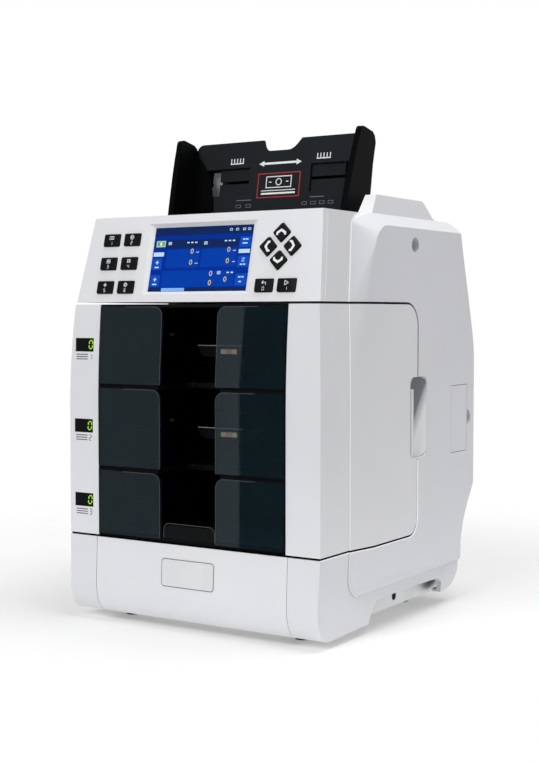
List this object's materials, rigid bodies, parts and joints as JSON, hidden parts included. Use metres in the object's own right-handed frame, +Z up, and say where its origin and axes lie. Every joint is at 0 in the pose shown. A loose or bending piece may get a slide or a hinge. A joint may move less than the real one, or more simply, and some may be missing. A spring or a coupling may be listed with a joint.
{
  "type": "banknote sorter",
  "caption": "Desktop banknote sorter with a top hopper, adjustable note guides, a leaning control panel with screen and keys, and a hinged front door with open stacking and reject pockets.",
  "frame": {"origin": "on the floor under the middle of the machine's bounding box", "axes": "+Z up, -Y towards the user, +X to the user's right"},
  "size_m": [0.293, 0.3147, 0.47],
  "materials": {
    "casing": "fine texture",
    "trim": "satin",
    "black": "fine texture",
    "smoked": "polished",
    "key": "satin",
    "display": "polished",
    "screen": "polished",
    "board": "solder mask",
    "sheet": "satin",
    "steel": "brushed",
    "roller": "matt",
    "foot": "matt",
    "gear": "satin"
  },
  "bodies": {
    "chassis": {"base_tray": "sheet", "base_front": "casing", "badge_plate": "trim", "right_side_cover": "casing", "left_side_cover": "casing", "top_cover": "casing", "rear_cover": "casing", "control_panel": "casing", "screen": "screen", "key_board": "board", "hopper_back": "black", "guide_housing": "black", "feed_table": "black", "frame_plates": "sheet", "rear_path_plate": "black", "image_sensor": "black", "main_motor": "steel", "drive_belt": "roller", "power_supply": "sheet", "main_board": "board", "power_inlet": "black", "port_sockets": "black", "feet": "foot", "cover_screws": "steel", "hinge_pins": "steel"},
    "door": {"door_right_panel": "casing", "door_left_panel": "casing", "pocket_frame": "black", "pocket_guards": "smoked", "stacker_shelves": "black", "reject_tray": "black", "pocket_displays": "display"},
    "key_left_1": {"key_left_1": "key"},
    "key_left_2": {"key_left_2": "key"},
    "key_left_3": {"key_left_3": "key"},
    "key_left_4": {"key_left_4": "key"},
    "key_left_5": {"key_left_5": "key"},
    "key_left_6": {"key_left_6": "key"},
    "key_up": {"key_up": "key"},
    "key_down": {"key_down": "key"},
    "key_left": {"key_left": "key"},
    "key_right": {"key_right": "key"},
    "key_cancel": {"key_cancel": "key"},
    "key_start": {"key_start": "key"},
    "left_note_guide": {"left_note_guide": "black"},
    "right_note_guide": {"right_note_guide": "black"},
    "guide_pinion": {"guide_pinion": "gear"},
    "pickup_shaft": {"pickup_shaft": "roller"},
    "feed_shaft": {"feed_shaft": "roller"},
    "transport_shaft_1": {"transport_shaft_1": "roller"},
    "transport_shaft_2": {"transport_shaft_2": "roller"},
    "motor_pulley": {"motor_pulley": "steel"},
    "port_flap": {"port_flap": "casing"},
    "power_rocker": {"power_rocker": "key"},
    "stacker_wheel_1": {"stacker_wheel_1": "gear"},
    "stacker_wheel_2": {"stacker_wheel_2": "gear"},
    "gate_1": {"gate_1": "black"},
    "gate_2": {"gate_2": "black"},
    "pinch_shaft_1": {"pinch_shaft_1": "roller"},
    "pinch_shaft_2": {"pinch_shaft_2": "roller"}
  },
  "joints": [
    {"name": "door_hinge", "type": "hinge", "parent": "chassis", "child": "door", "pos_m": [-0.141, 0.00675, 0.192], "axis": [0, 0, -1], "range_deg": [0, 100]},
    {"name": "key_left_1_press", "type": "slide", "parent": "chassis", "child": "key_left_1", "axis": [0, 0.9724, -0.2334], "range_m": [0, 0.0008], "stiffness_N_per_m": 1500},
    {"name": "key_left_2_press", "type": "slide", "parent": "chassis", "child": "key_left_2", "axis": [0, 0.9724, -0.2334], "range_m": [0, 0.0008], "stiffness_N_per_m": 1500},
    {"name": "key_left_3_press", "type": "slide", "parent": "chassis", "child": "key_left_3", "axis": [0, 0.9724, -0.2334], "range_m": [0, 0.0008], "stiffness_N_per_m": 1500},
    {"name": "key_left_4_press", "type": "slide", "parent": "chassis", "child": "key_left_4", "axis": [0, 0.9724, -0.2334], "range_m": [0, 0.0008], "stiffness_N_per_m": 1500},
    {"name": "key_left_5_press", "type": "slide", "parent": "chassis", "child": "key_left_5", "axis": [0, 0.9724, -0.2334], "range_m": [0, 0.0008], "stiffness_N_per_m": 1500},
    {"name": "key_left_6_press", "type": "slide", "parent": "chassis", "child": "key_left_6", "axis": [0, 0.9724, -0.2334], "range_m": [0, 0.0008], "stiffness_N_per_m": 1500},
    {"name": "key_up_press", "type": "slide", "parent": "chassis", "child": "key_up", "axis": [0, 0.9724, -0.2334], "range_m": [0, 0.0008], "stiffness_N_per_m": 1500},
    {"name": "key_down_press", "type": "slide", "parent": "chassis", "child": "key_down", "axis": [0, 0.9724, -0.2334], "range_m": [0, 0.0008], "stiffness_N_per_m": 1500},
    {"name": "key_left_press", "type": "slide", "parent": "chassis", "child": "key_left", "axis": [0, 0.9724, -0.2334], "range_m": [0, 0.0008], "stiffness_N_per_m": 1500},
    {"name": "key_right_press", "type": "slide", "parent": "chassis", "child": "key_right", "axis": [0, 0.9724, -0.2334], "range_m": [0, 0.0008], "stiffness_N_per_m": 1500},
    {"name": "key_cancel_press", "type": "slide", "parent": "chassis", "child": "key_cancel", "axis": [0, 0.9724, -0.2334], "range_m": [0, 0.0008], "stiffness_N_per_m": 1500},
    {"name": "key_start_press", "type": "slide", "parent": "chassis", "child": "key_start", "axis": [0, 0.9724, -0.2334], "range_m": [0, 0.0008], "stiffness_N_per_m": 1500},
    {"name": "left_guide_slide", "type": "slide", "parent": "chassis", "child": "left_note_guide", "axis": [1, 0, 0], "range_m": [0, 0.04]},
    {"name": "right_guide_slide", "type": "slide", "parent": "chassis", "child": "right_note_guide", "axis": [-1, 0, 0], "range_m": [0, 0.04]},
    {"name": "guide_pinion_turn", "type": "hinge", "parent": "chassis", "child": "guide_pinion", "pos_m": [0, 0.00915, 0.42545], "axis": [0, 0.9863, -0.165], "range_deg": [0, 191]},
    {"name": "feed_shaft_spin", "type": "hinge", "parent": "chassis", "child": "feed_shaft", "pos_m": [0, 0.00275, 0.347], "axis": [1, 0, 0], "continuous": true},
    {"name": "pickup_shaft_spin", "type": "hinge", "parent": "chassis", "child": "pickup_shaft", "pos_m": [0, -0.03925, 0.364], "axis": [1, 0, 0], "continuous": true},
    {"name": "transport_shaft_1_spin", "type": "hinge", "parent": "chassis", "child": "transport_shaft_1", "pos_m": [0, 0.03195, 0.16461], "axis": [1, 0, 0], "continuous": true},
    {"name": "transport_shaft_2_spin", "type": "hinge", "parent": "chassis", "child": "transport_shaft_2", "pos_m": [0, 0.03195, 0.24235], "axis": [1, 0, 0], "continuous": true},
    {"name": "motor_pulley_spin", "type": "hinge", "parent": "chassis", "child": "motor_pulley", "pos_m": [0, 0.07195, 0.096], "axis": [1, 0, 0], "continuous": true},
    {"name": "stacker_wheel_1_spin", "type": "hinge", "parent": "door", "child": "stacker_wheel_1", "pos_m": [0, -0.02925, 0.21575], "axis": [1, 0, 0], "continuous": true},
    {"name": "stacker_wheel_2_spin", "type": "hinge", "parent": "door", "child": "stacker_wheel_2", "pos_m": [0, -0.02925, 0.138], "axis": [1, 0, 0], "continuous": true},
    {"name": "pinch_shaft_1_spin", "type": "hinge", "parent": "door", "child": "pinch_shaft_1", "pos_m": [0, 0.00865, 0.16461], "axis": [1, 0, 0], "continuous": true},
    {"name": "pinch_shaft_2_spin", "type": "hinge", "parent": "door", "child": "pinch_shaft_2", "pos_m": [0, 0.00865, 0.24235], "axis": [1, 0, 0], "continuous": true},
    {"name": "gate_1_tip", "type": "hinge", "parent": "door", "child": "gate_1", "pos_m": [0, 0.00575, 0.27229], "axis": [1, 0, 0], "range_deg": [0, 12]},
    {"name": "gate_2_tip", "type": "hinge", "parent": "door", "child": "gate_2", "pos_m": [0, 0.00575, 0.19454], "axis": [1, 0, 0], "range_deg": [0, 12]},
    {"name": "port_flap_hinge", "type": "hinge", "parent": "chassis", "child": "port_flap", "pos_m": [0.1454, 0.09285, 0.1875], "axis": [0, 0, -1], "range_deg": [0, 95]},
    {"name": "power_rocker_tip", "type": "hinge", "parent": "chassis", "child": "power_rocker", "pos_m": [-0.034, 0.11075, 0.046], "axis": [-1, 0, 0], "range_deg": [0, 20]}
  ],
  "couplings": [
    {"joint": "right_guide_slide", "follows": "left_guide_slide", "ratio": 1},
    {"joint": "guide_pinion_turn", "follows": "left_guide_slide", "rad_per_m": 83.333},
    {"joint": "pickup_shaft_spin", "follows": "feed_shaft_spin", "ratio": 1.25},
    {"joint": "transport_shaft_2_spin", "follows": "transport_shaft_1_spin", "ratio": 1},
    {"joint": "motor_pulley_spin", "follows": "transport_shaft_1_spin", "ratio": 1},
    {"joint": "stacker_wheel_2_spin", "follows": "stacker_wheel_1_spin", "ratio": 1}
  ]
}
